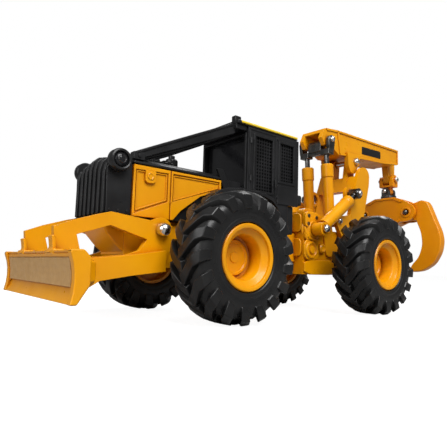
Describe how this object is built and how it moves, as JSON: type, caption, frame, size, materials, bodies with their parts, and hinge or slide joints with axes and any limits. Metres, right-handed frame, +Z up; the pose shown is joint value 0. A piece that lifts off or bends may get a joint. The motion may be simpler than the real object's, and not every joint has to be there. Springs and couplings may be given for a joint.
{
  "type": "toy grapple skidder",
  "caption": "Toy scale-model grapple skidder with hinged centre, dozer blade in front, roofed cab, tilting arch, box boom and hanging two-tong log grapple behind",
  "frame": {"origin": "centre of the bounding box in plan, on the ground under the tyres", "axes": "+X forward towards the blade, +Y to the machine's left, +Z up"},
  "size_m": [0.1994, 0.072, 0.0873],
  "materials": {
    "yellow_paint": "glossy construction-machine yellow paint on die-cast metal",
    "orange_paint": "glossy orange-yellow paint on the grapple",
    "roof_yellow": "paler yellow paint on the cab roof",
    "blade_tan": "matt tan wear panel on the blade",
    "satin_black": "satin black plastic",
    "guard_black": "black window guard screen",
    "tyre_black": "soft black rubber-like tyre",
    "bright_pin": "bright plated pin",
    "dark_steel": "dark plated steel",
    "smoked_glass": "dark smoked window plastic",
    "seat_black": "dull black plastic seat"
  },
  "bodies": {
    "machine": {"front_frame": "yellow_paint", "hinge_pin": "bright_pin", "front_axle": "satin_black", "grille_guard": "satin_black", "lamp_left": "satin_black", "lamp_right": "satin_black", "hood_side_left": "yellow_paint", "hood_side_right": "yellow_paint", "hood_lid": "satin_black", "engine_block": "satin_black", "cowl": "satin_black", "exhaust_box": "satin_black", "limb_riser_left": "satin_black", "limb_riser_right": "satin_black", "cab_shell": "satin_black", "side_guard_left": "guard_black", "side_guard_right": "guard_black", "windscreen": "smoked_glass", "rear_guard": "guard_black", "cab_roof": "roof_yellow", "operator_seat": "seat_black", "side_tank_left": "satin_black", "side_tank_right": "satin_black", "fender_left": "satin_black", "fender_right": "satin_black", "blade_pivot_pin": "bright_pin"},
    "blade_body": {"blade": "yellow_paint", "blade_panel": "blade_tan", "blade_arm_left": "yellow_paint", "blade_arm_right": "yellow_paint"},
    "rear": {"rear_frame": "yellow_paint", "rear_axle": "satin_black", "arch_pivot_pin": "bright_pin"},
    "front_left_wheel": {"front_left_tyre": "tyre_black", "front_left_rim": "yellow_paint"},
    "front_right_wheel": {"front_right_tyre": "tyre_black", "front_right_rim": "yellow_paint"},
    "rear_left_wheel": {"rear_left_tyre": "tyre_black", "rear_left_rim": "yellow_paint"},
    "rear_right_wheel": {"rear_right_tyre": "tyre_black", "rear_right_rim": "yellow_paint"},
    "arch_body": {"arch": "yellow_paint"},
    "arch_barrels": {"arch_cylinder_left": "yellow_paint", "arch_cylinder_right": "yellow_paint"},
    "arch_rods": {"arch_rod_left": "dark_steel", "arch_rod_right": "dark_steel"},
    "boom_barrels": {"boom_cylinder_left": "yellow_paint", "boom_cylinder_right": "yellow_paint"},
    "boom_rods_body": {"boom_rods": "dark_steel"},
    "boom_body": {"boom": "yellow_paint", "boom_pivot_pin": "bright_pin"},
    "swing": {"swing_link": "orange_paint"},
    "sway": {"rotator": "dark_steel"},
    "head": {"grapple_head": "orange_paint"},
    "tong_left_body": {"tong_left": "orange_paint"},
    "tong_right_body": {"tong_right": "orange_paint"}
  },
  "joints": [
    {"name": "articulation", "type": "hinge", "parent": "machine", "child": "rear", "pos_m": [-0.00315, 0, 0.0275], "axis": [0, 0, 1], "range_deg": [-45, 45]},
    {"name": "front_left_wheel_spin", "type": "hinge", "parent": "machine", "child": "front_left_wheel", "pos_m": [0.04635, 0.02865, 0.021], "axis": [0, 1, 0], "continuous": true},
    {"name": "front_right_wheel_spin", "type": "hinge", "parent": "machine", "child": "front_right_wheel", "pos_m": [0.04635, -0.02865, 0.021], "axis": [0, 1, 0], "continuous": true},
    {"name": "rear_left_wheel_spin", "type": "hinge", "parent": "rear", "child": "rear_left_wheel", "pos_m": [-0.03265, 0.02865, 0.021], "axis": [0, 1, 0], "continuous": true},
    {"name": "rear_right_wheel_spin", "type": "hinge", "parent": "rear", "child": "rear_right_wheel", "pos_m": [-0.03265, -0.02865, 0.021], "axis": [0, 1, 0], "continuous": true},
    {"name": "blade_lift", "type": "hinge", "parent": "machine", "child": "blade_body", "pos_m": [0.06515, 0, 0.029], "axis": [0, -1, 0], "range_deg": [-15, 20]},
    {"name": "arch_tilt", "type": "hinge", "parent": "rear", "child": "arch_body", "pos_m": [-0.03915, 0, 0.033], "axis": [0, -1, 0], "range_deg": [-10, 15]},
    {"name": "arch_cylinder_swing", "type": "hinge", "parent": "rear", "child": "arch_barrels", "pos_m": [-0.01415, 0, 0.0357], "axis": [0, -1, 0], "range_deg": [-4.5, 6.6]},
    {"name": "arch_rod_slide", "type": "slide", "parent": "arch_barrels", "child": "arch_rods", "axis": [-0.8104, 0, 0.5859], "range_m": [-0.0032, 0.0046]},
    {"name": "boom_lift", "type": "hinge", "parent": "arch_body", "child": "boom_body", "pos_m": [-0.04965, 0, 0.0729], "axis": [0, 1, 0], "range_deg": [-20, 11]},
    {"name": "boom_cylinder_swing", "type": "hinge", "parent": "arch_body", "child": "boom_barrels", "pos_m": [-0.03165, 0, 0.041], "axis": [0, 1, 0], "range_deg": [-4.7, 2.7]},
    {"name": "boom_rod_slide", "type": "slide", "parent": "boom_barrels", "child": "boom_rods_body", "axis": [0.0733, 0, 0.9973], "range_m": [-0.004, 0.0072]},
    {"name": "grapple_swing", "type": "hinge", "parent": "boom_body", "child": "swing", "pos_m": [-0.09465, 0, 0.0712], "axis": [0, -1, 0], "range_deg": [-25, 10]},
    {"name": "grapple_sway", "type": "hinge", "parent": "swing", "child": "sway", "pos_m": [-0.09465, 0, 0.0644], "axis": [1, 0, 0], "range_deg": [-12, 12]},
    {"name": "grapple_turn", "type": "hinge", "parent": "sway", "child": "head", "pos_m": [-0.09465, 0, 0.0603], "axis": [0, 0, 1], "continuous": true},
    {"name": "tong_left_swing", "type": "hinge", "parent": "head", "child": "tong_left_body", "pos_m": [-0.09465, 0.0128, 0.0512], "axis": [1, 0, 0], "range_deg": [-24, 45]},
    {"name": "tong_right_swing", "type": "hinge", "parent": "head", "child": "tong_right_body", "pos_m": [-0.09465, -0.0128, 0.0512], "axis": [1, 0, 0], "range_deg": [-45, 24]}
  ],
  "couplings": [
    {"joint": "arch_cylinder_swing", "follows": "arch_tilt", "ratio": 0.418},
    {"joint": "arch_rod_slide", "follows": "arch_tilt", "m_per_rad": 0.01684},
    {"joint": "boom_cylinder_swing", "follows": "boom_lift", "ratio": 0.22},
    {"joint": "boom_rod_slide", "follows": "boom_lift", "m_per_rad": -0.01992},
    {"joint": "tong_right_swing", "follows": "tong_left_swing", "ratio": -1}
  ]
}
